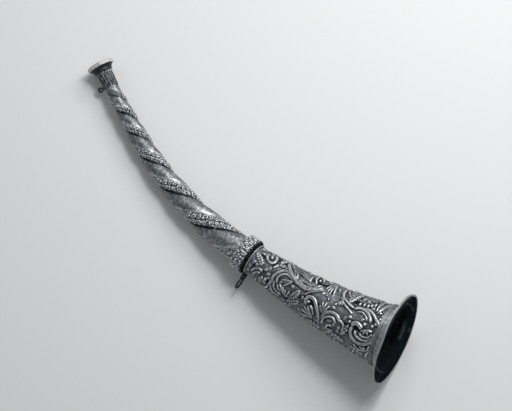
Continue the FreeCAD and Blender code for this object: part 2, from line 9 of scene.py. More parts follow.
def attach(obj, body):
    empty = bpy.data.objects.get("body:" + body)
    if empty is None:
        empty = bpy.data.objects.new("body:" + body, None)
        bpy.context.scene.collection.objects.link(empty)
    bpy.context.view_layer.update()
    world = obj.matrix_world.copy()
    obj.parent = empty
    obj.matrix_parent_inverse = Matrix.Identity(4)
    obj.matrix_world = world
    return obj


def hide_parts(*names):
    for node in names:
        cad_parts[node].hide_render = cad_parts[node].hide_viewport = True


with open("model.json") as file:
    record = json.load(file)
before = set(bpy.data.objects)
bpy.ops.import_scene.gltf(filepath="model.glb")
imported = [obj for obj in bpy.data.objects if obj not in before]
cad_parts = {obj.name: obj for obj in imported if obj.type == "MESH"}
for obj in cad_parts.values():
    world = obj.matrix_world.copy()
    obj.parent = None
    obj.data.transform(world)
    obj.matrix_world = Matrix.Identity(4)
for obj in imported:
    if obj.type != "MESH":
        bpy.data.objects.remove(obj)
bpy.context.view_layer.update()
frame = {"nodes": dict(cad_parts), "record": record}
bpy.ops.object.select_all(action="DESELECT")
MM = 0.001

# Camera: a long lens high above the horn, rolled so that the horn runs from the upper left down
# to the lower right, and from the side that looks into the mouth of the bell.
LENS = 250.0
SENSOR = 36.0
PHOTO_WIDTH, PHOTO_HEIGHT = 512, 411
CAMERA_TURN, CAMERA_TILT, CAMERA_ROLL = np.radians([-50.643, 78.694, -6.069])
CAMERA_DISTANCE = 3736.8
CAMERA_TARGET = np.array([4.65, 14.37, 35.31])
LOOK = np.array([
    math.cos(CAMERA_TILT) * math.sin(CAMERA_TURN),
    math.cos(CAMERA_TILT) * math.cos(CAMERA_TURN),
    -math.sin(CAMERA_TILT),
])
level = np.cross(LOOK, [0.0, 0.0, 1.0])
level /= np.linalg.norm(level)
upright = np.cross(level, LOOK)
IMAGE_RIGHT = math.cos(CAMERA_ROLL) * level + math.sin(CAMERA_ROLL) * upright
IMAGE_UP = -math.sin(CAMERA_ROLL) * level + math.cos(CAMERA_ROLL) * upright
CAMERA_PLACE = CAMERA_TARGET - LOOK * CAMERA_DISTANCE

bpy.ops.object.camera_add()
camera = bpy.context.object
camera.name = "camera"
camera.data.lens = LENS
camera.data.sensor_width = SENSOR
camera.matrix_world = Matrix.Translation(CAMERA_PLACE * MM) @ Matrix(
    np.stack([IMAGE_RIGHT, IMAGE_UP, -LOOK], 1).tolist()
).to_4x4()
bpy.context.scene.camera = camera


def on_photo(points):
    """Where points in mm fall on the photograph, in its pixels."""
    away = points - CAMERA_PLACE
    scale = LENS / SENSOR * PHOTO_WIDTH / (away @ LOOK)
    across = PHOTO_WIDTH / 2 + scale * (away @ IMAGE_RIGHT)
    down = PHOTO_HEIGHT / 2 - scale * (away @ IMAGE_UP)
    return np.stack([across, down], -1)


# Floor and light: a pale sheet of paper, a large soft lamp at the top of the picture that rakes
# across the raised work, a small one for the bright edges, and a weak one from the other side.
FLOOR_TONE = (0.72, 0.72, 0.72)
FLOOR_SIZE = 8.0
PAPER_ROUGHNESS = 0.9
WORLD_TONE = (0.27, 0.28, 0.29)
LAMPS = (
    # name, watts, size and distance in m, and its way: up, right and near in the picture
    ("key", 12.5, 0.95, 1.25, (0.78, 0.40, 0.70)),
    ("edge", 3.0, 0.22, 1.10, (0.62, 0.30, 0.85)),
    ("fill", 0.8, 1.20, 1.50, (-0.55, -0.35, 0.85)),
)

bpy.ops.mesh.primitive_plane_add(size=FLOOR_SIZE)
floor = bpy.context.object
floor.name = "floor"
paper = bpy.data.materials.new("floor_paper")
paper.use_nodes = True
paper_shader = paper.node_tree.nodes["Principled BSDF"]
paper_shader.inputs["Base Color"].default_value = (*FLOOR_TONE, 1)
paper_shader.inputs["Roughness"].default_value = PAPER_ROUGHNESS
floor.data.materials.append(paper)

for name, watts, size, distance, (up, right, near) in LAMPS:
    way = up * IMAGE_UP + right * IMAGE_RIGHT - near * LOOK
    way /= np.linalg.norm(way)
    bpy.ops.object.light_add(type="AREA", location=CAMERA_TARGET * MM + way * distance)
    lamp = bpy.context.object
    lamp.name = name
    lamp.data.energy = watts
    lamp.data.size = size
    lamp.rotation_euler = Vector(way).to_track_quat("Z", "Y").to_euler()

world = bpy.data.worlds.new("studio")
world.use_nodes = True
world.node_tree.nodes["Background"].inputs["Color"].default_value = (*WORLD_TONE, 1)
bpy.context.scene.world = world
bpy.context.scene.view_settings.view_transform = "Standard"

# Bell: a cone of sheet metal on the last bend, with acanthus scrolls chased all over it. Its neck
# is soldered on the collar of the joint. The front was read from the photograph, and the hidden
# side repeats it half a turn on.

# The centre line that the whole horn was bent to, as lengths in mm and bends in degrees: straight
# at the mouthpiece, the joint and the mouth, with three easy bends. The frame places the mouth.
RUNS = ((40.0, 0.0), (60.0, 3.5), (150.0, 23.5), (32.0, 0.0), (157.0, 12.0), (11.0, 0.0))
RUN_ENDS = np.cumsum([0.0] + [length for length, _ in RUNS])
JOINT_START, BELL_START, BELL_END, MOUTH = RUN_ENDS[3:7]
joints = {joint["name"]: joint for joint in frame["record"]["behaviour"]["joints"]}
mounts = {mount["name"]: mount for mount in frame["record"]["mounts"]}
FRONT = np.array(joints["strap_ring_swing"]["axis"])
MOUTH_ALONG = np.array(mounts["bell_mouth"]["axis"])
MOUTH_INWARD = np.cross(FRONT, MOUTH_ALONG)
MOUTH_PLACE = np.array(mounts["bell_mouth"]["pos_m"]) / MM


def centre_line(distance):
    """The centre line's place in its own plane in mm, and its heading there in radians."""
    distance = np.asarray(distance, float)
    flat = np.zeros(distance.shape + (2,))
    heading = np.zeros(distance.shape)
    for number, (length, bend) in enumerate(RUNS):
        step = distance - RUN_ENDS[number]
        step = np.maximum(step, 0.0) if number else step
        if number < len(RUNS) - 1:
            step = np.minimum(step, length)
        turn = math.radians(bend) * step / length
        chord = step * np.sinc(turn / 2 / math.pi)
        middle = heading + turn / 2
        flat += np.stack([np.cos(middle), np.sin(middle)], -1) * chord[..., None]
        heading = heading + turn
    return flat, heading


MOUTH_FLAT, MOUTH_HEADING = centre_line(MOUTH)
PLANE_X = math.cos(MOUTH_HEADING) * MOUTH_ALONG - math.sin(MOUTH_HEADING) * MOUTH_INWARD
PLANE_Y = math.sin(MOUTH_HEADING) * MOUTH_ALONG + math.cos(MOUTH_HEADING) * MOUTH_INWARD


def around(distance, angle, radius):
    """Points round the centre line in mm; angles in degrees from the belly to the front."""
    distance, angle, radius = np.broadcast_arrays(distance, np.radians(angle), radius)
    flat, heading = centre_line(distance)
    offset = flat - MOUTH_FLAT
    place = MOUTH_PLACE + offset[..., :1] * PLANE_X + offset[..., 1:] * PLANE_Y
    sine, cosine = np.sin(heading)[..., None], np.cos(heading)[..., None]
    belly = sine * PLANE_X - cosine * PLANE_Y
    return place + radius[..., None] * (
        np.cos(angle)[..., None] * belly + np.sin(angle)[..., None] * FRONT
    )


def raised(profile, angles, height):
    """A skin that stands off a profile, whose points are a way along and a radius, all in mm."""
    step = np.gradient(profile, axis=0)
    step /= np.linalg.norm(step, axis=1, keepdims=True)
    distance = profile[:, :1] - step[:, 1:] * height
    radius = profile[:, 1:] + step[:, :1] * height
    return around(distance, angles, radius)


def ring_angles(columns):
    """Even steps once round, in degrees."""
    return np.arange(columns) * 360.0 / columns


PATH_STEPS = 12


def smooth_path(points):
    """A curve through a few points, each a place along and a place across."""
    points = np.asarray(points, float)
    ends = np.vstack([2 * points[0] - points[1], points, 2 * points[-1] - points[-2]])
    share = np.linspace(0, 1, PATH_STEPS, endpoint=False)[:, None]
    parts = []
    for a, b, c, d in zip(ends, ends[1:], ends[2:], ends[3:]):
        cubic = 3 * b - a - 3 * c + d
        square = 2 * a - 5 * b + 4 * c - d
        parts.append((2 * b + (c - a) * share + square * share**2 + cubic * share**3) / 2)
    return np.vstack(parts + [points[-1:]])


def hump(offset, reach):
    """A smooth hump, 1 at its middle and next to nothing at twice its reach."""
    return np.exp(-((offset / reach) ** 2))


def rounded(across, along):
    """A plain round bar, from its middle line, 0, to its edge, 1."""
    return np.sqrt(1 - across**2)


# Grooves of a reeded bar: place, reach and depth, as shares of its half width and its height
REED_GROOVES = ((0.0, 0.16, 0.5), (0.62, 0.1, 0.3))


def reeded(across, along):
    """A bar with a broad flat top, a groove along its middle and a fine one beside each edge."""
    grooves = sum(depth * hump(across - place, reach) for place, reach, depth in REED_GROOVES)
    return (1 - across**4) ** 0.7 * (1 - grooves)


LEAF_RIB_REACH, LEAF_RIB_DEPTH = 0.18, 0.6
LEAF_VEIN_DEPTH = 0.45
LEAF_LOBE_DEPTH = 0.3


def leaf_blade(lobes):
    """A leaf with a groove for its rib, and veins that run out to its lobes."""
    def blade(across, along):
        veins = 0.5 + 0.5 * np.cos(2 * math.pi * (along * lobes - 0.5 * across))
        rib = 1 - LEAF_RIB_DEPTH * hump(across, LEAF_RIB_REACH)
        veined = 1 - LEAF_VEIN_DEPTH + LEAF_VEIN_DEPTH * veins
        return np.sqrt(1 - across**2) ** 0.8 * veined * rib
    return blade


def leaf_outline(lobes):
    """A leaf, fullest a little before its middle, with an edge cut into lobes."""
    def outline(along):
        body = np.sin(math.pi * np.clip(0.12 + 0.88 * along, 0, 1)) ** 0.6
        lobed = 1 - LEAF_LOBE_DEPTH + LEAF_LOBE_DEPTH * np.abs(np.sin(math.pi * lobes * along))
        return body * lobed + 0.03
    return outline


def bar_outline(along):
    """One width all along, rounded off in the first and last tenth."""
    return np.minimum(1.0, np.sqrt(np.minimum(along, 1 - along) / 0.1 + 0.05))


def finger_outline(along):
    """Full in the middle, and a quarter as wide at both ends."""
    return 0.25 + 0.75 * np.sin(math.pi * along) ** 0.7


# A top is rubbed bright, and a hollow darkened with patina and painted shade, by how far it
# stands above what is near it and above what is farther off: how many cells each way that looks,
# and how much it counts
NEAR_REACH, NEAR_WEAR = 2, 1.1
FAR_REACH, FAR_WEAR = 7, 0.35


class Relief:
    """Chased work: heights in mm on a grid of places along and places across.

    Each stroke of the chaser is a path with a width, a height and a cross-section. Places along
    are in mm, and a step across is a scale's worth of mm: a degree on a ring, a share on a strip.
    """

    def __init__(self, along, across, scale, ring=True):
        self.along = along
        self.across = across
        self.scale = np.broadcast_to(scale, along.shape)
        self.ring = ring
        self.height = np.zeros((len(along), len(across)))

    def stroke(self, points, width, height, section=rounded, outline=bar_outline):
        """Raises a bar, a finger or a leaf along a path; width is from its middle to its edge."""
        path = smooth_path(points)
        rows = np.flatnonzero(
            (self.along >= path[:, 0].min() - width) & (self.along <= path[:, 0].max() + width)
        )
        if not len(rows):
            return
        middle = (path[:, 1].min() + path[:, 1].max()) / 2
        offset = self.across - middle
        if self.ring:
            offset = (offset + 180) % 360 - 180
        reach = width / self.scale[rows].min() + np.ptp(path[:, 1]) / 2
        columns = np.flatnonzero(np.abs(offset) <= reach)
        if not len(columns):
            return
        along = self.along[rows][:, None, None] - path[:, 0]
        across = offset[columns][None, :, None] - (path[:, 1] - middle)
        distance = along**2 + (across * self.scale[rows][:, None, None]) ** 2
        share = distance.argmin(-1) / (len(path) - 1)
        distance = np.sqrt(distance.min(-1))
        edge = np.maximum(width * outline(share), 1e-6)
        inside = distance < edge
        level = height * np.sqrt(edge / width)
        level = level * section(np.where(inside, distance / edge, 0.0), share)
        cells = np.ix_(rows, columns)
        self.height[cells] = np.maximum(self.height[cells], np.where(inside, level, 0.0))

    def boss(self, place, radius, height):
        """Raises a round berry or button."""
        nudge = np.array([0.02, 0.0])
        self.stroke([place - nudge, place + nudge], radius, height, outline=np.ones_like)

    def soft(self, field, reach):
        """A field averaged over a few cells each way."""
        weights = np.hanning(2 * reach + 3)[1:-1]
        weights /= weights.sum()
        padded = np.pad(field, ((0, 0), (reach, reach)), "wrap" if self.ring else "edge")
        field = sum(w * padded[:, k:k + field.shape[1]] for k, w in enumerate(weights))
        padded = np.pad(field, ((reach, reach), (0, 0)), "edge")
        return sum(w * padded[k:k + field.shape[0]] for k, w in enumerate(weights))

    def wear_and_light(self, ground=0.5, strength=0.9):
        """From 0, a black hollow of patina and painted shade, to 1, a rubbed top: by its height
        over its surround.
        """
        near = self.height - self.soft(self.height, NEAR_REACH)
        far = self.height - self.soft(self.height, FAR_REACH)
        return np.clip(ground + strength * (NEAR_WEAR * near + FAR_WEAR * far), 0.0, 1.0)

    def uneven(self, seed, reach, size):
        """A gently uneven field, for hammered sheet and old dents."""
        noise = np.random.default_rng(seed).normal(size=self.height.shape)
        noise = self.soft(self.soft(noise, reach), reach)
        return size * noise / np.abs(noise).max()


def skin(name, shown, wear_and_light, hidden, hidden_wear_and_light, ring=True):
    """A closed skin of two grids of points in mm: the side that shows and the one under it.

    On a ring both the rows and the columns join up. The first and last rows of a strip have no
    thickness, so only its columns do.
    """
    way = 0 if ring else 1
    points = np.concatenate([shown, hidden], way)
    wear_and_light = np.concatenate([wear_and_light, np.broadcast_to(hidden_wear_and_light, hidden.shape[:2])], way)
    points = np.concatenate([points, points[:, :1]], 1)
    wear_and_light = np.concatenate([wear_and_light, wear_and_light[:, :1]], 1)
    if ring:
        points = np.concatenate([points, points[:1]], 0)
        wear_and_light = np.concatenate([wear_and_light, wear_and_light[:1]], 0)
    rows, columns = wear_and_light.shape
    bpy.ops.mesh.primitive_grid_add(x_subdivisions=columns - 1, y_subdivisions=rows - 1, size=1)
    piece = bpy.context.object
    piece.name = piece.data.name = name
    mesh = piece.data
    flat = np.zeros(len(mesh.vertices) * 3)
    mesh.vertices.foreach_get("co", flat)
    flat = flat.reshape(-1, 3) + 0.5
    column = np.rint(flat[:, 0] * (columns - 1)).astype(int)
    row = np.rint(flat[:, 1] * (rows - 1)).astype(int)
    mesh.vertices.foreach_set("co", (points[row, column] * MM).ravel())
    # Each point keeps its wear together with its painted light and shade
    kept = mesh.attributes.new("wear_and_light", "FLOAT", "POINT")
    kept.data.foreach_set("value", wear_and_light[row, column])
    bpy.ops.object.mode_set(mode="EDIT")
    bpy.ops.mesh.select_all(action="SELECT")
    bpy.ops.mesh.remove_doubles(threshold=0.001 * MM)
    bpy.ops.mesh.normals_make_consistent(inside=False)
    bpy.ops.object.mode_set(mode="OBJECT")
    bpy.ops.object.shade_smooth()
    return piece


CLOUD_SCALE, CLOUD_DETAIL, CLOUD_STRENGTH = 260.0, 6.0, 0.6
SPECK_SCALE, SPECK_DETAIL, SPECK_STRENGTH = 1100.0, 4.0, 0.62
PLAIN_WEAR = 0.5
DARK_AT, MIDDLE_AT, BRIGHT_AT = 0.14, 0.5, 0.95
BUMP_STRENGTH, BUMP_HEIGHT = 0.5, 0.12


def patina(name, dark, middle, bright, carved=True, metallic=0.8, roughness=(0.62, 0.4),
           shine=0.5):
    """The horn's metal: a dark blue-grey skin, black with patina and painted shade in the hollows
    and rubbed bright on top.

    A carved piece keeps its own wear and painted light at each point; on a plain one only clouds
    and specks show.
    """
    material = bpy.data.materials.new(name)
    material.use_nodes = True
    nodes, links = material.node_tree.nodes, material.node_tree.links
    shader = nodes["Principled BSDF"]
    shader.inputs["Metallic"].default_value = metallic
    shader.inputs["Specular IOR Level"].default_value = shine
    place = nodes.new("ShaderNodeTexCoord")

    def noise(scale, detail):
        node = nodes.new("ShaderNodeTexNoise")
        node.inputs["Scale"].default_value = scale
        node.inputs["Detail"].default_value = detail
        links.new(place.outputs["Object"], node.inputs["Vector"])
        return node.outputs["Fac"]

    def multiply_add(value, factor, added):
        node = nodes.new("ShaderNodeMath")
        node.operation = "MULTIPLY_ADD"
        node.inputs[1].default_value = factor
        links.new(value, node.inputs[0])
        if isinstance(added, float):
            node.inputs[2].default_value = added
        else:
            links.new(added, node.inputs[2])
        return node.outputs[0]

    level = -(CLOUD_STRENGTH + SPECK_STRENGTH) / 2
    base = PLAIN_WEAR + level
    if carved:
        own = nodes.new("ShaderNodeAttribute")
        own.attribute_name = "wear_and_light"
        base = multiply_add(own.outputs["Fac"], 1.0, level)
    clouds = multiply_add(noise(CLOUD_SCALE, CLOUD_DETAIL), CLOUD_STRENGTH, base)
    specks = noise(SPECK_SCALE, SPECK_DETAIL)
    wear_and_light = multiply_add(specks, SPECK_STRENGTH, clouds)
    ramp = nodes.new("ShaderNodeValToRGB")
    ramp.color_ramp.elements[0].position = DARK_AT
    ramp.color_ramp.elements[0].color = (*dark, 1)
    ramp.color_ramp.elements[1].position = BRIGHT_AT
    ramp.color_ramp.elements[1].color = (*bright, 1)
    ramp.color_ramp.elements.new(MIDDLE_AT).color = (*middle, 1)
    links.new(wear_and_light, ramp.inputs["Fac"])
    links.new(ramp.outputs["Color"], shader.inputs["Base Color"])
    polish = nodes.new("ShaderNodeMapRange")
    polish.inputs["To Min"].default_value = roughness[0]
    polish.inputs["To Max"].default_value = roughness[1]
    links.new(wear_and_light, polish.inputs["Value"])
    links.new(polish.outputs["Result"], shader.inputs["Roughness"])
    bump = nodes.new("ShaderNodeBump")
    bump.inputs["Strength"].default_value = BUMP_STRENGTH
    bump.inputs["Distance"].default_value = BUMP_HEIGHT * MM
    links.new(specks, bump.inputs["Height"])
    links.new(bump.outputs["Normal"], shader.inputs["Normal"])
    return material


def dress(piece, material, slot, *nodes, body="horn"):
    """Gives a finished piece its metal, the body that it rides on and the nodes it stands for."""
    piece.data.materials.clear()
    piece.data.materials.append(material)
    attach(piece, body)
    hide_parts(*nodes)


HORN_METAL = patina("horn_patina", (0.003, 0.004, 0.006), (0.16, 0.17, 0.182), (0.7, 0.71, 0.725))

# In mm: the radius at the neck and at the mouth, and how long the neck is. The widths in the
# tables below were read a little thin, and are all made bolder by the same share.
BELL_RADIUS = (16.4, 33.6)
BELL_NECK = 7.6
BELL_BOLD = 1.35
BELL_LEAF_HEIGHT, BELL_FINGER_HEIGHT = 1.9, 1.7
BELL_LOBE_HEIGHT, BELL_BUTTON_HEIGHT = 1.9, 2.1
BELL_ROWS, BELL_COLUMNS = 276, 344
BELL_INNER_ROWS = 12
BELL_GROUND = -0.8
BELL_WALL = 0.6
BELL_WEAR = 0.48
# The bell's inside and the tube's bore are painted near black, as shade
INSIDE_SHADE = 0.06
# Old dents, here and on other pieces: seed, reach in cells and size in mm
BELL_DENTS = (3, 6, 0.18)

# Scrolls: half width and height in mm, then the photo pixels that the band runs through
BELL_SCROLLS = (
    (1.3, 1.9, (267.6, 254.2), (267.4, 259.0), (270.2, 262.6), (274.2, 262.6), (277.0, 259.6),
     (277.0, 256.2)),
    (1.1, 1.5, (250.8, 270.8), (254.5, 268.3), (258.8, 268.8), (262.2, 271.8)),
    (0.9, 1.4, (252.6, 273.9), (256.0, 271.8), (259.5, 273.2)),
    (1.0, 1.4, (251.2, 277.5), (254.0, 282.5), (259.0, 286.0), (265.0, 287.4), (269.5, 284.0)),
    (1.5, 2.0, (267.0, 285.0), (271.3, 281.0), (273.5, 276.0), (278.0, 272.5), (284.0, 271.0),
     (289.5, 272.6), (292.9, 276.5), (295.5, 281.5), (299.5, 285.5)),
    (1.2, 1.8, (276.8, 283.5), (277.2, 277.8), (280.8, 274.8), (286.0, 274.2), (290.3, 276.9),
     (293.8, 281.5)),
    (1.6, 2.1, (289.3, 263.5), (289.8, 268.5), (292.5, 274.6), (295.6, 280.2), (300.4, 285.6),
     (306.4, 288.9), (315.2, 289.6), (324.0, 287.9)),
    (0.9, 1.5, (298.6, 279.0), (301.6, 283.3), (306.5, 286.5), (314.0, 287.5), (322.5, 285.5)),
    (1.0, 1.8, (316.4, 283.0), (316.9, 279.3), (320.0, 277.2), (323.6, 278.8), (324.8, 281.8)),
    (0.9, 1.4, (304.5, 294.7), (309.0, 292.1), (315.5, 291.4), (324.0, 289.8)),
    (1.1, 1.6, (272.0, 278.0), (270.4, 285.5), (273.0, 291.5), (278.4, 296.0)),
    (0.9, 1.5, (274.4, 280.0), (273.2, 286.3), (275.9, 291.0), (280.4, 294.5)),
    (0.8, 1.4, (277.4, 284.5), (277.6, 288.3), (280.6, 291.5)),
    (1.6, 2.4, (306.0, 304.4), (305.3, 300.4), (308.4, 297.0), (312.6, 297.9), (315.1, 301.6),
     (316.6, 307.0), (317.8, 313.5), (319.0, 320.5)),
    (0.9, 1.4, (309.6, 305.4), (311.8, 309.5), (312.6, 315.0)),
    (1.5, 2.0, (320.8, 319.0), (323.6, 314.0), (328.0, 312.3), (333.0, 312.8), (337.2, 316.2),
     (339.3, 322.5)),
    (1.1, 1.8, (320.6, 323.5), (323.6, 318.0), (328.2, 316.3), (333.0, 318.0), (335.6, 323.6)),
    (0.9, 1.6, (325.2, 327.5), (328.0, 325.0), (331.6, 326.2)),
    (1.2, 1.9, (347.4, 289.9), (343.9, 293.8), (343.9, 298.0), (346.4, 301.2), (350.2, 304.8),
     (354.6, 308.3)),
    (1.0, 1.6, (341.4, 296.8), (344.4, 303.8), (348.6, 309.4), (352.6, 314.2)),
    (0.8, 1.4, (349.6, 291.4), (350.0, 295.4), (352.4, 299.0)),
    (1.5, 2.0, (354.3, 308.9), (360.2, 308.2), (366.1, 311.1), (369.8, 317.0), (370.6, 322.8)),
    (0.9, 1.5, (356.5, 312.0), (361.5, 312.0), (365.4, 315.6), (366.8, 320.6)),
    (1.5, 2.0, (364.4, 307.6), (371.5, 311.8), (376.2, 319.5), (379.2, 327.0), (378.5, 333.5),
     (375.0, 337.5)),
    (1.6, 2.1, (352.6, 325.6), (350.2, 331.0), (352.0, 338.0), (356.8, 342.8), (364.0, 344.3),
     (371.8, 341.8), (376.4, 336.0)),
    (1.2, 1.8, (354.3, 330.4), (355.6, 335.6), (359.6, 339.4), (366.0, 340.8), (372.0, 338.2),
     (375.2, 333.0)),
    (0.9, 1.6, (358.4, 333.2), (361.8, 336.7), (367.4, 337.8), (372.2, 334.6)),
    (1.9, 2.4, (350.8, 324.6), (355.6, 322.9), (359.6, 325.4), (361.2, 329.4)),
    (0.9, 1.4, (339.7, 319.9), (342.8, 325.8), (341.6, 331.5)),
    (1.1, 1.6, (352.8, 343.4), (358.0, 349.2), (365.0, 351.0)),
    (0.9, 1.4, (364.6, 357.0), (368.6, 351.0), (373.6, 346.4)),
)
# Leaves: half width in mm and lobes, then the pixels from the foot to the tip
BELL_LEAVES = (
    (2.7, 5, (261.6, 264.5), (259.8, 258.0), (257.0, 251.8)),
    (1.9, 3, (288.0, 268.6), (283.6, 266.2), (278.6, 264.4)),
    (1.3, 2, (278.4, 264.6), (275.6, 266.6), (272.4, 268.4)),
    (1.8, 1, (297.6, 279.6), (296.4, 274.0), (294.6, 267.8)),
    (3.0, 6, (298.6, 291.4), (293.6, 296.0), (287.0, 297.6)),
    (2.6, 5, (297.4, 302.4), (291.4, 302.2), (285.4, 300.4)),
    (3.4, 7, (350.6, 301.0), (358.6, 295.6), (369.0, 294.0)),
    (2.4, 5, (351.6, 296.6), (358.0, 291.6), (365.4, 290.4)),
    (1.7, 1, (377.4, 313.6), (386.0, 306.9), (398.6, 304.4)),
    (1.5, 1, (376.6, 310.2), (381.6, 304.4), (388.6, 300.4)),
    (1.9, 4, (347.4, 325.6), (344.0, 331.0), (339.6, 334.6)),
    (2.6, 5, (342.6, 341.4), (335.0, 336.4), (326.6, 330.2)),
    (2.4, 5, (281.6, 262.4), (288.4, 261.8), (296.0, 265.4)),
    (2.4, 5, (330.6, 282.6), (336.4, 282.2), (343.4, 285.8)),
    (2.4, 4, (372.0, 296.6), (380.0, 298.0), (388.4, 299.0)),
    (2.4, 4, (274.8, 298.4), (268.4, 292.4), (262.4, 288.6)),
    (2.8, 5, (318.6, 327.6), (310.6, 322.0), (304.6, 318.6)),
    (2.4, 4, (361.0, 354.6), (355.0, 349.6), (349.0, 345.6)),
)
# Fans of fingers: half width in mm, the pixel of the foot, then those of the tips
BELL_FANS = (
    (1.0, (310.4, 282.4), (300.4, 272.2), (303.4, 272.0), (306.6, 273.4), (309.6, 274.8),
     (312.8, 276.4)),
    (1.1, (338.4, 285.0), (326.0, 288.4), (327.2, 291.4), (329.2, 294.0), (332.4, 296.4)),
    (1.0, (343.6, 299.6), (335.2, 304.6), (338.4, 305.6), (341.8, 306.2)),
    (1.1, (321.8, 314.4), (319.8, 304.6), (323.0, 302.2), (326.4, 302.8), (329.2, 305.8)),
    (1.1, (312.0, 318.4), (298.6, 312.4), (300.6, 308.0), (303.6, 305.8), (307.0, 305.6)),
    (1.1, (293.4, 281.6), (281.0, 279.4), (282.6, 282.4), (283.0, 285.6)),
    (1.1, (285.6, 297.4), (279.0, 283.6), (282.2, 286.6), (285.0, 289.6), (289.0, 291.4)),
    (1.1, (367.0, 330.0), (359.8, 331.4), (362.4, 334.6), (367.0, 336.0), (371.8, 332.4)),
    (1.0, (332.0, 331.0), (326.4, 331.6), (324.4, 327.4)),
    (1.0, (366.0, 352.0), (362.0, 345.6), (358.4, 346.0), (370.0, 345.0)),
    (1.0, (265.4, 284.0), (258.0, 276.6), (261.0, 275.6)),
)
# Short lobes in rows: half width in mm, then the pixels of both ends
BELL_LOBES = (
    (1.1, (358.8, 305.4), (361.4, 302.8)), (1.1, (363.4, 306.6), (366.0, 303.6)),
    (1.1, (367.2, 307.6), (369.8, 304.8)), (1.1, (371.0, 307.2), (373.4, 304.6)),
    (1.1, (375.2, 306.4), (377.6, 303.8)), (1.3, (378.6, 312.8), (382.4, 314.4)),
    (1.5, (380.8, 316.8), (386.6, 317.0)), (1.2, (378.4, 320.8), (382.0, 318.8)),
    (1.1, (335.0, 303.0), (336.4, 305.4)), (1.1, (339.2, 302.2), (340.8, 304.6)),
    (1.1, (374.6, 323.0), (376.4, 326.4)), (1.0, (328.0, 298.0), (329.0, 300.4)),
)
# Round buttons: radius in mm and the pixel of the middle
BELL_BUTTONS = (
    (1.9, (272.2, 257.9)), (2.1, (265.1, 279.3)), (1.5, (320.6, 281.0)), (1.6, (308.6, 301.6)),
    (2.1, (364.6, 324.3)), (1.8, (372.0, 326.5)), (1.3, (349.4, 321.6)), (1.2, (354.4, 332.6)),
    (1.6, (353.0, 350.7)), (1.3, (346.8, 330.4)), (1.2, (269.8, 288.8)), (1.2, (327.0, 295.6)),
)
# Ground that stays plain: radius in mm and the pixel of the middle
BELL_PLAIN = (
    (4.5, (266.0, 263.0)), (6.5, (333.8, 298.5)), (4.0, (299.2, 301.1)), (4.5, (358.0, 316.0)),
    (7.0, (345.0, 312.0)), (4.0, (256.5, 277.0)), (9.0, (396.0, 315.0)),
)
# Sprays that fill the ground: tries, sizes in mm, how far they bend in radians, how far they
# stay from both ends of the bell, and how many cells round them have to be bare
SPRAY_TRIES = 900
SPRAY_LENGTH, SPRAY_WIDTH, SPRAY_HEIGHT = 4.6, 1.6, 1.4
SPRAY_BEND = 0.7
SPRAY_MARGINS = (3, 6)
SPRAY_CLEAR = 3
BARE_HEIGHT = 0.3
# The stretch of the bell that the photograph shows, in degrees from the belly
SEEN_ANGLES = (10.0, 190.0)
PROBE_STEP = 0.5


def bell_radius(distance):
    """Even along the neck, and then a straight cone."""
    share = np.maximum(distance - BELL_START, 0.0) / (BELL_END - BELL_START)
    return BELL_RADIUS[0] + share * (BELL_RADIUS[1] - BELL_RADIUS[0])


probe_rows = np.arange(BELL_START - BELL_NECK, BELL_END + PROBE_STEP, PROBE_STEP)
probe_angles = np.arange(*SEEN_ANGLES, 1.0)
probe_places = on_photo(
    around(probe_rows[:, None], probe_angles, bell_radius(probe_rows)[:, None])
)


def from_photo(*pixels):
    """Where pixels of the photograph lie on the bell: a way along in mm, and an angle."""
    found = []
    for pixel in pixels:
        off = np.linalg.norm(probe_places - pixel, axis=-1)
        row, column = np.unravel_index(off.argmin(), off.shape)
        found.append((probe_rows[row], probe_angles[column]))
    return np.array(found)


bell_rows = np.linspace(BELL_START - BELL_NECK, BELL_END, BELL_ROWS)
bell_angles = ring_angles(BELL_COLUMNS)
bell = Relief(bell_rows, bell_angles, np.radians(bell_radius(bell_rows)))
plain_ground = []
for turn in (0.0, 180.0):
    half_turn = np.array([0.0, turn])
    for width, height, *pixels in BELL_SCROLLS:
        bell.stroke(from_photo(*pixels) + half_turn, width * BELL_BOLD, height, reeded)
    for width, lobes, *pixels in BELL_LEAVES:
        path = from_photo(*pixels) + half_turn
        bell.stroke(path, width * BELL_BOLD, BELL_LEAF_HEIGHT, leaf_blade(lobes),
                    leaf_outline(lobes))
    for width, foot, *tips in BELL_FANS:
        for tip in tips:
            path = from_photo(tip, foot) + half_turn
            bell.stroke(path, width * BELL_BOLD, BELL_FINGER_HEIGHT, outline=finger_outline)
    for width, *pixels in BELL_LOBES:
        path = from_photo(*pixels) + half_turn
        bell.stroke(path, width * BELL_BOLD, BELL_LOBE_HEIGHT, outline=finger_outline)
    for radius, pixel in BELL_BUTTONS:
        bell.boss((from_photo(pixel) + half_turn)[0], radius, BELL_BUTTON_HEIGHT)
    plain_ground += [(radius, (from_photo(pixel) + half_turn)[0]) for radius, pixel in BELL_PLAIN]

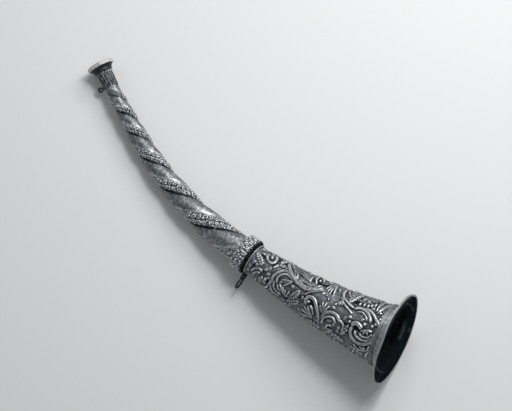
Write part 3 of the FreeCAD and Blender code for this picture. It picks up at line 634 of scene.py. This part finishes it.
# Small sprays fill the ground between the scrolls
luck = np.random.default_rng(7)
for _ in range(SPRAY_TRIES):
    place = np.array([
        luck.uniform(bell_rows[0] + SPRAY_MARGINS[0], BELL_END - SPRAY_MARGINS[1]),
        luck.uniform(0, 360),
    ])
    heading = luck.uniform(0, 2 * math.pi)
    turned = luck.uniform(-SPRAY_BEND, SPRAY_BEND)
    scale = math.radians(bell_radius(place[0]))
    away = [
        math.hypot(place[0] - spot[0], scale * ((place[1] - spot[1] + 180) % 360 - 180)) / radius
        for radius, spot in plain_ground
    ]
    row = np.abs(bell_rows - place[0]).argmin()
    column = int(place[1] / 360 * BELL_COLUMNS)
    patch = bell.height[
        max(row - SPRAY_CLEAR, 0):row + SPRAY_CLEAR + 1,
        max(column - SPRAY_CLEAR, 0):column + SPRAY_CLEAR + 1,
    ]
    if min(away) < 1 or patch.max() > BARE_HEIGHT:
        continue
    path = []
    for share, bend in ((-0.5, -turned), (0.0, 0.0), (0.5, turned)):
        step = SPRAY_LENGTH * share
        path.append(place + [step * math.cos(heading + bend),
                             step * math.sin(heading + bend) / scale])
    bell.stroke(path, SPRAY_WIDTH, SPRAY_HEIGHT, leaf_blade(3), leaf_outline(3))

bell.height = bell.soft(bell.height, 1)
bell_wear_and_light = bell.wear_and_light(BELL_WEAR)
bell_shape = bell.height + BELL_GROUND + bell.uneven(*BELL_DENTS)
profile = np.stack([bell_rows, bell_radius(bell_rows)], 1)
inner = np.linspace(BELL_ROWS - 1, 0, BELL_INNER_ROWS).astype(int)
inside = around(
    bell_rows[inner, None], bell_angles,
    bell_radius(bell_rows[inner, None]) - BELL_WALL + np.minimum(bell_shape[inner], 0.0),
)
outside = raised(profile, bell_angles, bell_shape)
piece = skin("bell_scrollwork", outside, bell_wear_and_light, inside, INSIDE_SHADE)
dress(piece, HORN_METAL, "horn_metal", "bell_body", "socket_collar")

# Mouth of the bell: plain sheet, spun out to a flat brim that has gone a little wavy with use.
# It is soldered on the end of the bell, and its inside is painted dark as shade, with a few
# painted highlights.
# The bend of the brim, as shares out from the bell and along from its end
FLARE_SHARES = ((0.0, 0.0), (0.02, 0.3), (0.08, 0.56), (0.29, 0.87), (0.58, 1.0), (1.0, 1.0))
FLARE_RADIUS = 48.8
FLARE_LENGTH = 11.0
FLARE_WALL = 1.1
FLARE_SEAM = 0.1
FLARE_ROWS, FLARE_COLUMNS = 44, 240
FLARE_DENTS = (11, 4, 0.4)
# The outside of the brim, the painted shade of its inside, and how much dents lighten the inside
FLARE_WEAR, INSIDE_SHADE_LEVEL, DENT_WEAR = 0.62, 0.12, 0.3
# How far the brim is bent back in mm, and the waves in it: how many, where from, and how much
BRIM_BEND = 0.5
BRIM_WAVES = ((3, 40.0, 0.6), (7, 0.0, 0.5))
# Where the brim rests on the floor, in degrees from the belly; the brim isn't bent there
REST_ANGLE = math.degrees(math.atan2(-FRONT[2], -around(MOUTH, 0.0, 1.0)[2] + MOUTH_PLACE[2]))
# Painted highlights inside: reach in pixels, how bright, and the photo pixels that they run
# through
MOUTH_HIGHLIGHTS = (
    (2.2, 0.5, (404.6, 323.0), (402.8, 330.0), (399.8, 338.0)),
    (1.2, 0.4, (409.8, 328.6), (409.4, 332.4)),
    (0.8, 0.5, (407.0, 303.8), (409.0, 304.4), (411.0, 306.0), (412.4, 308.2), (413.0, 310.6)),
    (0.8, 0.5, (375.8, 364.0), (376.4, 366.6), (377.6, 369.4), (379.6, 371.4), (382.4, 372.4)),
)
# A dark, flat material that paints the shade inside the mouth
SHADED_INSIDE = patina(
    "painted_shade_inside", (0.007, 0.01, 0.0115), (0.03, 0.036, 0.038), (0.14, 0.15, 0.155),
    metallic=0.0, roughness=(0.9, 0.7), shine=0.0,
)


def brim_wave(angle):
    """How far the brim is bent back, in mm at its edge."""
    rest = 1 - np.cos(np.radians(angle - REST_ANGLE))
    waves = 1.0
    for count, start, size in BRIM_WAVES:
        waves = waves + size * np.sin(np.radians(count * angle + start))
    return BRIM_BEND * rest * waves


flare_angles = ring_angles(FLARE_COLUMNS)
curve = smooth_path([
    (BELL_END + FLARE_SEAM + along * (FLARE_LENGTH - FLARE_WALL),
     BELL_RADIUS[1] + out * (FLARE_RADIUS - BELL_RADIUS[1]))
    for out, along in FLARE_SHARES
])
curve = curve[np.linspace(0, len(curve) - 1, FLARE_ROWS).astype(int)]
flare = Relief(curve[:, 1], flare_angles, math.radians(FLARE_RADIUS))
out_share = ((curve[:, 1:] - BELL_RADIUS[1]) / (FLARE_RADIUS - BELL_RADIUS[1])).clip(0, 1)
dents = flare.uneven(*FLARE_DENTS) * np.sin(math.pi * out_share)
dents = dents + brim_wave(flare_angles) * out_share**2
back = raised(curve, flare_angles, dents)
front = raised(curve, flare_angles, dents - FLARE_WALL)[::-1]
# The inside is painted dark as shade, a little lighter at dents, with painted highlights on the
# listed marks
front_wear_and_light = INSIDE_SHADE_LEVEL + DENT_WEAR * np.abs(dents[::-1])
for reach, bright, *pixels in MOUTH_HIGHLIGHTS:
    off = np.linalg.norm(on_photo(front)[..., None, :] - smooth_path(pixels), axis=-1).min(-1)
    front_wear_and_light = front_wear_and_light + bright * hump(off, reach)
back_wear = np.full(dents.shape, FLARE_WEAR)
piece = skin("bell_mouth_sheet", back, back_wear, front, front_wear_and_light)
dress(piece, HORN_METAL, "horn_metal", "bell_flare")

# The front's points come after all those of the back, so a face on them is on the inside, and
# takes the dark material that paints the inside's shade
piece.data.materials.append(SHADED_INSIDE)
for face in piece.data.polygons:
    if min(face.vertices) >= dents.size:
        face.material_index = 1

# Round wires: one rolled into the edge of the brim, one on the neck of the joint, and the loose
# ring for a strap. Each is drawn wire, bent round and soldered. The first two are rubbed bright.
WIRE_METAL = patina(
    "rubbed_wire", (0.06, 0.066, 0.07), (0.34, 0.35, 0.36), (0.76, 0.77, 0.78), carved=False
)
DARK_METAL = patina(
    "dark_turned", (0.008, 0.012, 0.014), (0.03, 0.04, 0.044), (0.1, 0.115, 0.12), carved=False
)
WIRE_SEGMENTS, WIRE_SIDES = 180, 16
# Radius of each ring to the middle of its wire, and half the wire's thickness, in mm
BRIM_WIRE = (49.95, 1.05)
NECK_WIRE = (16.5, 0.92)
STRAP_RING = (6.2, 1.02)
BRIM_WIRE_BACK = 0.6
NECK_WIRE_PLACE = 23.9


def round_wire(name, place, along, radius, thickness):
    """A ring of round wire about an axis, all in mm; thickness is half the wire's."""
    bpy.ops.mesh.primitive_torus_add(
        location=place * MM,
        rotation=Vector(along).to_track_quat("Z", "Y").to_euler(),
        major_segments=WIRE_SEGMENTS,
        minor_segments=WIRE_SIDES,
        major_radius=radius * MM,
        minor_radius=thickness * MM,
    )
    wire = bpy.context.object
    wire.name = wire.data.name = name
    bpy.ops.object.transform_apply(location=True, rotation=True, scale=True)
    bpy.ops.object.shade_smooth()
    return wire


def direction(distance):
    """Which way the centre line runs at a place along it."""
    heading = float(centre_line(distance)[1])
    return math.cos(heading) * PLANE_X + math.sin(heading) * PLANE_Y


rim_place = around(MOUTH - BRIM_WIRE_BACK, 0.0, 0.0)
piece = round_wire("brim_wire", rim_place, MOUTH_ALONG, *BRIM_WIRE)
corners = np.zeros(len(piece.data.vertices) * 3)
piece.data.vertices.foreach_get("co", corners)
corners = corners.reshape(-1, 3)
spokes = corners / MM - rim_place
bent = np.degrees(np.arctan2(spokes @ FRONT, spokes @ -MOUTH_INWARD))
corners -= MOUTH_ALONG * (brim_wave(bent) * MM)[:, None]
piece.data.vertices.foreach_set("co", corners.ravel())
dress(piece, WIRE_METAL, "bright_metal", "rim_bead")

neck_at = JOINT_START + NECK_WIRE_PLACE
piece = round_wire("neck_wire", around(neck_at, 0.0, 0.0), direction(neck_at), *NECK_WIRE)
dress(piece, WIRE_METAL, "bright_metal", "collar_bead")

ring_place = np.array(mounts["strap_ring"]["pos_m"]) / MM
piece = round_wire("strap_ring_wire", ring_place, mounts["strap_ring"]["axis"], *STRAP_RING)
dress(piece, DARK_METAL, "bright_metal", "strap_ring", body="strap_ring")

# Twisted tube: two smooth bands swell out of a tapering tube and wind round it to the left, with
# a dip between them for each garland. It is one sheet, hammered over a core and planished. The
# twist starts where the photograph has it, 46 degrees round from the frame's own tube.
TUBE_START, TUBE_END = 10.3, JOINT_START + 14.0
BANDS_START, BANDS_END = 30.8, JOINT_START + 6.9
TUBE_RADIUS = (7.2, 15.1)
TUBE_BORE = (5.95, 13.1)
# The bands rise this far in mm, fade over so many mm at both ends, and are highest at an angle
# from the middle of a garland
BAND_RISE, BAND_FADE, BAND_CREST = 1.15, 26.0, -115.0
# The first garland leaves the belly at the start, and each half turn is longer by the growth
TWIST_OFFSET, TWIST_START, TWIST_GROWTH = 43.0, 44.1, 1.26
TUBE_ROWS, TUBE_COLUMNS, BORE_ROWS = 470, 130, 10
# Hammer marks, fine and broad, the ragged edge of the painted shade, then blotches of wear, each
# with its seed, reach and size
HAMMER_MARKS = ((5, 3, 0.12), (6, 9, 0.2))
RAGGED_SHADE = (8, 2, 0.75)
TUBE_BLOTCHES = (9, 1, 0.12)
# How far a garland reaches to each side, in degrees. One edge of a band has a painted highlight
# and the other painted shade: how far off the garland each is, and how far it reaches
GARLAND_REACH = 36.0
LIT_EDGE = (7, 7)
SHADED_EDGE = (5, 9)
# The tube's own level, its painted highlight, its painted shade, and how much hammered bumps
# lighten it
TUBE_WEAR, PAINTED_HIGHLIGHT, PAINTED_SHADE, HAMMER_WEAR = 0.52, 0.22, 0.5, 0.4


def twist(distance):
    """Where the first garland lies round the tube, in degrees from the belly."""
    growth = (distance + TWIST_OFFSET) / (TWIST_START + TWIST_OFFSET)
    return 180 * np.log(growth) / math.log(TWIST_GROWTH)


def mean_radius(distance):
    """The taper of the tube, without its bands."""
    share = np.maximum(0.0, (distance - BANDS_START) / (TUBE_END - BANDS_START))
    return TUBE_RADIUS[0] + share * (TUBE_RADIUS[1] - TUBE_RADIUS[0])


def tube_radius(distance, across):
    """The tube's outer radius at an angle from the middle of a garland."""
    from_ends = np.minimum(distance - BANDS_START, BANDS_END - distance)
    fade = np.clip(from_ends / BAND_FADE, 0.0, 1.0)
    swell = BAND_RISE * (1 - np.cos(math.pi * fade)) / 2
    swell = swell * mean_radius(distance) / sum(TUBE_RADIUS) * 2
    return mean_radius(distance) + swell * np.cos(np.radians(2 * (across - BAND_CREST)))


tube_rows = np.linspace(TUBE_START, TUBE_END, TUBE_ROWS)
tube_angles = ring_angles(TUBE_COLUMNS)
tube = Relief(tube_rows, tube_angles, np.radians(mean_radius(tube_rows)))
from_garland = (tube_angles - twist(tube_rows)[:, None] + 90) % 180 - 90
hammered = sum(tube.uneven(*marks) for marks in HAMMER_MARKS)
tube_skin = tube_radius(tube_rows[:, None], from_garland) + hammered
# A painted highlight along one edge of each band, and ragged painted shade along the other
lit_edge = hump(from_garland - GARLAND_REACH - LIT_EDGE[0], LIT_EDGE[1])
shaded_edge = hump(from_garland + GARLAND_REACH + SHADED_EDGE[0], SHADED_EDGE[1])
ragged = 1 + tube.uneven(*RAGGED_SHADE)
tube_wear_and_light = TUBE_WEAR + PAINTED_HIGHLIGHT * lit_edge - PAINTED_SHADE * shaded_edge * ragged
tube_wear_and_light = tube_wear_and_light + HAMMER_WEAR * hammered + tube.uneven(*TUBE_BLOTCHES)
bore_rows = np.linspace(TUBE_END, TUBE_START, BORE_ROWS)
bore_share = (bore_rows - TUBE_START) / (TUBE_END - TUBE_START)
bore = around(
    bore_rows[:, None], tube_angles,
    (TUBE_BORE[0] + bore_share * (TUBE_BORE[1] - TUBE_BORE[0]))[:, None],
)
outside = around(tube_rows[:, None], tube_angles, tube_skin)
piece = skin("twisted_tube_skin", outside, np.clip(tube_wear_and_light, 0.0, 1.0), bore, INSIDE_SHADE)
dress(piece, HORN_METAL, "horn_metal", "twisted_tube")

# Garlands: two cast strips of leaves and berries that wind round the tube in the dips, soldered
# down along their edges. Leaf tips stand over the side towards the bell.
GARLAND_START, GARLAND_END = 36.0, JOINT_START + 6.0
GARLAND_STEP, FINE_STEP = 0.36, 0.02
GARLAND_COLUMNS = 38
GARLAND_MARGINS = (0.5, 2.0)
# The ground stands this far off the tube and its edges are sunk in it. It fades at both ends, and
# the leaves a little less.
GARLAND_GROUND, GARLAND_SUNK = 0.35, 0.25
GARLAND_FADE, LEAVES_LESS = 3.0, 1.2
# Undersides and edge walls, the wreath's core and the collar's bore are painted dark, as shade
GARLAND_WEAR, UNDERSIDE_SHADE = 0.56, 0.1
GARLAND_SEED = 20
# Shares of the strip's half width, some with a least and a most. A leaf has a foot, a bend and a
# tip, each a way along and a way off the middle. Heights are in mm.
GARLAND_PITCH = (0.9, 1.15)
LEAF_LIFT = (0.85, 1.1)
LEAF_FOOT, LEAF_FOOT_OFF = (-0.1, 0.1), 0.12
LEAF_BEND, LEAF_BEND_OFF = 0.34, (0.42, 0.55)
LEAF_TIP, LEAF_TIP_OFF = (0.5, 0.95), (0.74, 0.98)
LEAF_WIDTH, LEAF_HEIGHT = (0.3, 0.42), 1.55
BERRY, BERRY_OFF, BERRY_SIZE, BERRY_HEIGHT = (0.6, 1.0), (0.1, 0.45), (0.17, 0.26), 1.8
BUD, BUD_OFF, BUD_SIZE, BUD_HEIGHT = (0.0, 0.8), (0.66, 0.84), (0.14, 0.22), 1.35
# The ground slopes down to the tube at each side: where it ends, and how wide the slope is
FLANK_FOOT, FLANK_WIDTH = 0.74, 0.16
# The leaves that the horn lies on are worn flat, and keep this far off the floor
FLOOR_GAP = 0.03

fine = np.arange(GARLAND_START, GARLAND_END, FINE_STEP)
sideways = mean_radius(fine) * np.gradient(np.radians(twist(fine)), fine)
length = np.concatenate([[0.0], np.cumsum(np.hypot(1.0, sideways)[1:] * np.diff(fine))])
strip_rows = np.arange(0.0, length[-1], GARLAND_STEP)
strip_at = np.interp(strip_rows, length, fine)
slant = np.arctan(np.interp(strip_rows, length, sideways))
half_width = np.radians(GARLAND_REACH) * mean_radius(strip_at) * np.cos(slant)
shares = np.linspace(-1.0, 1.0, GARLAND_COLUMNS)
side = shares * half_width[:, None]
distance = strip_at[:, None] - side * np.sin(slant)[:, None]
turned = np.degrees(side * np.cos(slant)[:, None] / mean_radius(strip_at)[:, None])
strip_angle = twist(strip_at)[:, None] + turned
for number, letter in enumerate("ab"):
    luck = np.random.default_rng(GARLAND_SEED + number)
    strip = Relief(strip_rows, shares, half_width, ring=False)
    at = GARLAND_MARGINS[0]
    while at < strip_rows[-1] - GARLAND_MARGINS[1]:
        wide = np.interp(at, strip_rows, half_width)
        for hand in (-1, 1):
            lift = luck.uniform(*LEAF_LIFT)
            foot = (at + luck.uniform(*LEAF_FOOT) * wide, hand * LEAF_FOOT_OFF)
            bend = (at + LEAF_BEND * wide, hand * luck.uniform(*LEAF_BEND_OFF))
            tip = (at + luck.uniform(*LEAF_TIP) * wide, hand * luck.uniform(*LEAF_TIP_OFF))
            strip.stroke([foot, bend, tip], luck.uniform(*LEAF_WIDTH) * wide,
                         LEAF_HEIGHT * lift, leaf_blade(1), leaf_outline(1))
            along = at + luck.uniform(*BERRY) * wide
            berry = np.array([along, hand * luck.uniform(*BERRY_OFF)])
            strip.boss(berry, luck.uniform(*BERRY_SIZE) * wide, BERRY_HEIGHT * lift)
        for hand in (-1, 1):
            along = at + luck.uniform(*BUD) * wide
            bud = np.array([along, hand * luck.uniform(*BUD_OFF)])
            strip.boss(bud, luck.uniform(*BUD_SIZE) * wide, BUD_HEIGHT)
        at += luck.uniform(*GARLAND_PITCH) * wide
    strip.height = strip.soft(strip.height, 1)
    strip_wear_and_light = strip.wear_and_light(GARLAND_WEAR, 1.0)
    from_ends = np.minimum(strip_rows, strip_rows[-1] - strip_rows)[:, None]
    ends = np.clip(from_ends / GARLAND_FADE, 0, 1)
    flank = np.clip((FLANK_FOOT - np.abs(shares)) / FLANK_WIDTH, 0, 1)
    bed = tube_radius(distance, strip_angle - twist(distance)) - GARLAND_SUNK
    ground = (GARLAND_GROUND + GARLAND_SUNK) * flank * ends
    top = bed + ground + strip.height * np.minimum(1.0, ends * LEAVES_LESS)
    top[[0, -1]] = bed[[0, -1]]
    half_turn = 180.0 * number
    above = around(distance, strip_angle + half_turn, top)
    above[..., 2] = np.maximum(above[..., 2], FLOOR_GAP)
    below = around(distance, strip_angle + half_turn, bed)[:, ::-1]
    piece = skin(f"garland_{letter}", above, strip_wear_and_light, below, UNDERSIDE_SHADE, ring=False)
    dress(piece, HORN_METAL, "garland_metal", f"vine_strand_{letter}")

# Wreath: a thick cast ring of small leaves and berries that hides the end of the tube. It is
# pushed on over the joint, and its side towards the bell is darkened with painted shade.
# Its section, as places in mm along from the joint and radii
WREATH_POINTS = (
    (7.0, 15.7), (7.1, 17.0), (8.2, 18.3), (10.4, 18.9), (13.6, 19.2), (17.2, 19.2),
    (20.0, 18.7), (21.6, 17.4), (21.9, 16.2), (21.9, 15.7),
)
# Its core, which is hidden: places in mm along from the joint, and its radius
WREATH_CORE, WREATH_BORE = (21.9, 14.0, 7.0), 15.4
WREATH_STEP, WREATH_COLUMNS = 0.32, 330
WREATH_WEAR = 0.6
WREATH_SEED = 31
# Rings of leaves, how many leaves in each, and in mm round the section where the first ring
# starts and how far apart they are
WREATH_RINGS, RING_LEAVES = 5, 16
RING_START, RING_PITCH = 1.6, 3.4
# A leaf's bend and tip in mm along from its foot, how far it is off its place and slants, both
# in degrees, and its least and most half width and height in mm
WREATH_LEAF = (2.2, 4.8)
LEAF_SHIFT, LEAF_SLANT, LEAF_SLANT_MORE = (-4.0, 4.0), (-9.0, 9.0), 6.0
WREATH_LEAF_WIDTH, WREATH_LEAF_HEIGHT = (2.0, 2.7), (1.4, 2.0)
# Berries between leaves: how often, how far along in mm, their radius and their height
BERRY_CHANCE = 0.6
RING_BERRY, RING_BERRY_SIZE, RING_BERRY_HEIGHT = (0.0, 2.4), (1.1, 1.7), 2.0
# Painted shade on the side towards the bell: how far from the end it begins, over how many mm it
# deepens, and how dark it is
DARK_SIDE, DARK_FADE, DARK_SHARE = 6.0, 2.5, 0.85

outline = smooth_path([(JOINT_START + along, radius) for along, radius in WREATH_POINTS])
walked = np.concatenate([[0.0], np.cumsum(np.linalg.norm(np.diff(outline, axis=0), axis=1))])
wreath_rows = np.arange(0.0, walked[-1], WREATH_STEP)
outline = np.stack([np.interp(wreath_rows, walked, outline[:, k]) for k in (0, 1)], 1)
wreath_angles = ring_angles(WREATH_COLUMNS)
wreath = Relief(wreath_rows, wreath_angles, np.radians(outline[:, 1]))
luck = np.random.default_rng(WREATH_SEED)
for ring_number in range(WREATH_RINGS):
    at = RING_START + RING_PITCH * ring_number
    for number in range(RING_LEAVES):
        angle = (number + 0.5 * (ring_number % 2)) * 360 / RING_LEAVES
        angle += luck.uniform(*LEAF_SHIFT)
        slope = luck.uniform(*LEAF_SLANT) + LEAF_SLANT_MORE
        bend = (at + WREATH_LEAF[0], angle + slope * 0.5)
        tip = (at + WREATH_LEAF[1], angle + slope)
        wreath.stroke([(at, angle), bend, tip], luck.uniform(*WREATH_LEAF_WIDTH),
                      luck.uniform(*WREATH_LEAF_HEIGHT), leaf_blade(1), leaf_outline(1))
        if luck.random() < BERRY_CHANCE:
            berry = np.array([at + luck.uniform(*RING_BERRY), angle + 180 / RING_LEAVES])
            wreath.boss(berry, luck.uniform(*RING_BERRY_SIZE), RING_BERRY_HEIGHT)
wreath.height = wreath.soft(wreath.height, 1)
# The side towards the bell is darkened with painted shade
bell_side = np.clip((wreath_rows - walked[-1] + DARK_SIDE) / DARK_FADE, 0, 1)[:, None]
wreath_wear_and_light = wreath.wear_and_light(WREATH_WEAR, 1.0) * (1 - DARK_SHARE * bell_side)
core = around(JOINT_START + np.array(WREATH_CORE)[:, None], wreath_angles, WREATH_BORE)
outside = raised(outline, wreath_angles, wreath.height)
piece = skin("leaf_wreath", outside, wreath_wear_and_light, core, UNDERSIDE_SHADE)
dress(piece, HORN_METAL, "garland_metal", "wreath_knop")

# Leaf collar: three rows of pointed leaves, each with a bright rib, cast as one sleeve. It slides
# on the small end of the tube and hides the joint under the mouthpiece.
COLLAR_START, COLLAR_MIDDLE, COLLAR_END = 10.4, 20.0, 31.0
COLLAR_BED, COLLAR_MEAN, COLLAR_BORE = 7.6, 8.5, 6.7
COLLAR_ROWS, COLLAR_COLUMNS = 80, 200
COLLAR_WEAR, COLLAR_CONTRAST = 0.34, 1.5
# The bed sinks into the tube from here on, over so many mm and by so much
BED_SINKS, SINK_LENGTH, SINK_DEPTH = 27.0, 2.0, 0.5
# The foot of the cord eye on the belly: its place, its radius and its height
EYE_FOOT, EYE_FOOT_RADIUS, EYE_FOOT_HEIGHT = np.array([25.0, 0.0]), 2.7, 2.4
# A leaf's flat and the rib and furrows on it: place, reach and height as shares
LEAF_FLAT = 0.62
COLLAR_RIBS = ((0.0, 0.16, 0.5), (0.45, 0.16, -0.25))
# Leaves in each row, where they start and end, half their width, their height, and the turn
COLLAR_LEAVES = (
    (8, 13.0, 30.8, 3.3, 1.3, 22.5),
    (8, 11.0, 25.6, 2.9, 1.55, 0.0),
    (16, 10.0, 18.4, 1.6, 1.75, 11.25),
)


def ribbed(across, along):
    """A flat leaf with a raised rib and a fine furrow on each side of it."""
    ribs = sum(height * hump(across - place, reach) for place, reach, height in COLLAR_RIBS)
    return (1 - across**4) * (LEAF_FLAT + ribs)


def pointed(along):
    """Full for its first third, then drawn in to a point, with a slightly wavy edge."""
    return np.minimum(1.0, 1.35 * (1 - along) ** 0.75 + 0.02) * (0.8 + 0.2 * np.sin(along * 9))


collar_rows = np.linspace(COLLAR_START, COLLAR_END, COLLAR_ROWS)
collar_angles = ring_angles(COLLAR_COLUMNS)
collar = Relief(collar_rows, collar_angles, math.radians(COLLAR_MEAN))
for count, start, end, width, height, turn in COLLAR_LEAVES:
    for number in range(count):
        angle = turn + number * 360 / count
        collar.stroke([(start, angle), (end, angle)], width, height, ribbed, pointed)
collar.boss(EYE_FOOT, EYE_FOOT_RADIUS, EYE_FOOT_HEIGHT)
collar.height = collar.soft(collar.height, 1)
collar_wear_and_light = collar.wear_and_light(COLLAR_WEAR, COLLAR_CONTRAST)
sunk = SINK_DEPTH * np.clip((collar_rows - BED_SINKS) / SINK_LENGTH, 0, 1)[:, None]
outside = around(collar_rows[:, None], collar_angles, COLLAR_BED - sunk + collar.height)
bore_rows = np.array([[COLLAR_END], [COLLAR_MIDDLE], [COLLAR_START]])
bore = around(bore_rows, collar_angles, COLLAR_BORE)
piece = skin("pointed_leaf_collar", outside, collar_wear_and_light, bore, UNDERSIDE_SHADE)
dress(piece, HORN_METAL, "horn_metal", "leaf_collar")

# Mouthpiece: a pale eight-sided lip plate on a dark turned shank, which pushes into the dark
# ferrule on the tube. These, the sleeve, the lug, the eye and the throat ring are the frame's own
# pieces and have the shape, so they only take their finish.
LIP_PLATE = patina(
    "pale_plate", (0.3, 0.3, 0.29), (0.46, 0.455, 0.44), (0.62, 0.61, 0.59),
    carved=False, metallic=0.0, roughness=(0.5, 0.35),
)
PLAIN_METAL = patina(
    "plain_patina", (0.03, 0.034, 0.038), (0.17, 0.18, 0.19), (0.42, 0.43, 0.44), carved=False
)
FINISHES = {
    "mouthpiece_plate": LIP_PLATE,
    "mouthpiece_shank": DARK_METAL,
    "receiver_ferrule": DARK_METAL,
    "joint_sleeve": DARK_METAL,
    "strap_lug": DARK_METAL,
    "upper_eye": DARK_METAL,
}
for name, node in frame["nodes"].items():
    node.data.materials.clear()
    node.data.materials.append(FINISHES.get(name, PLAIN_METAL))
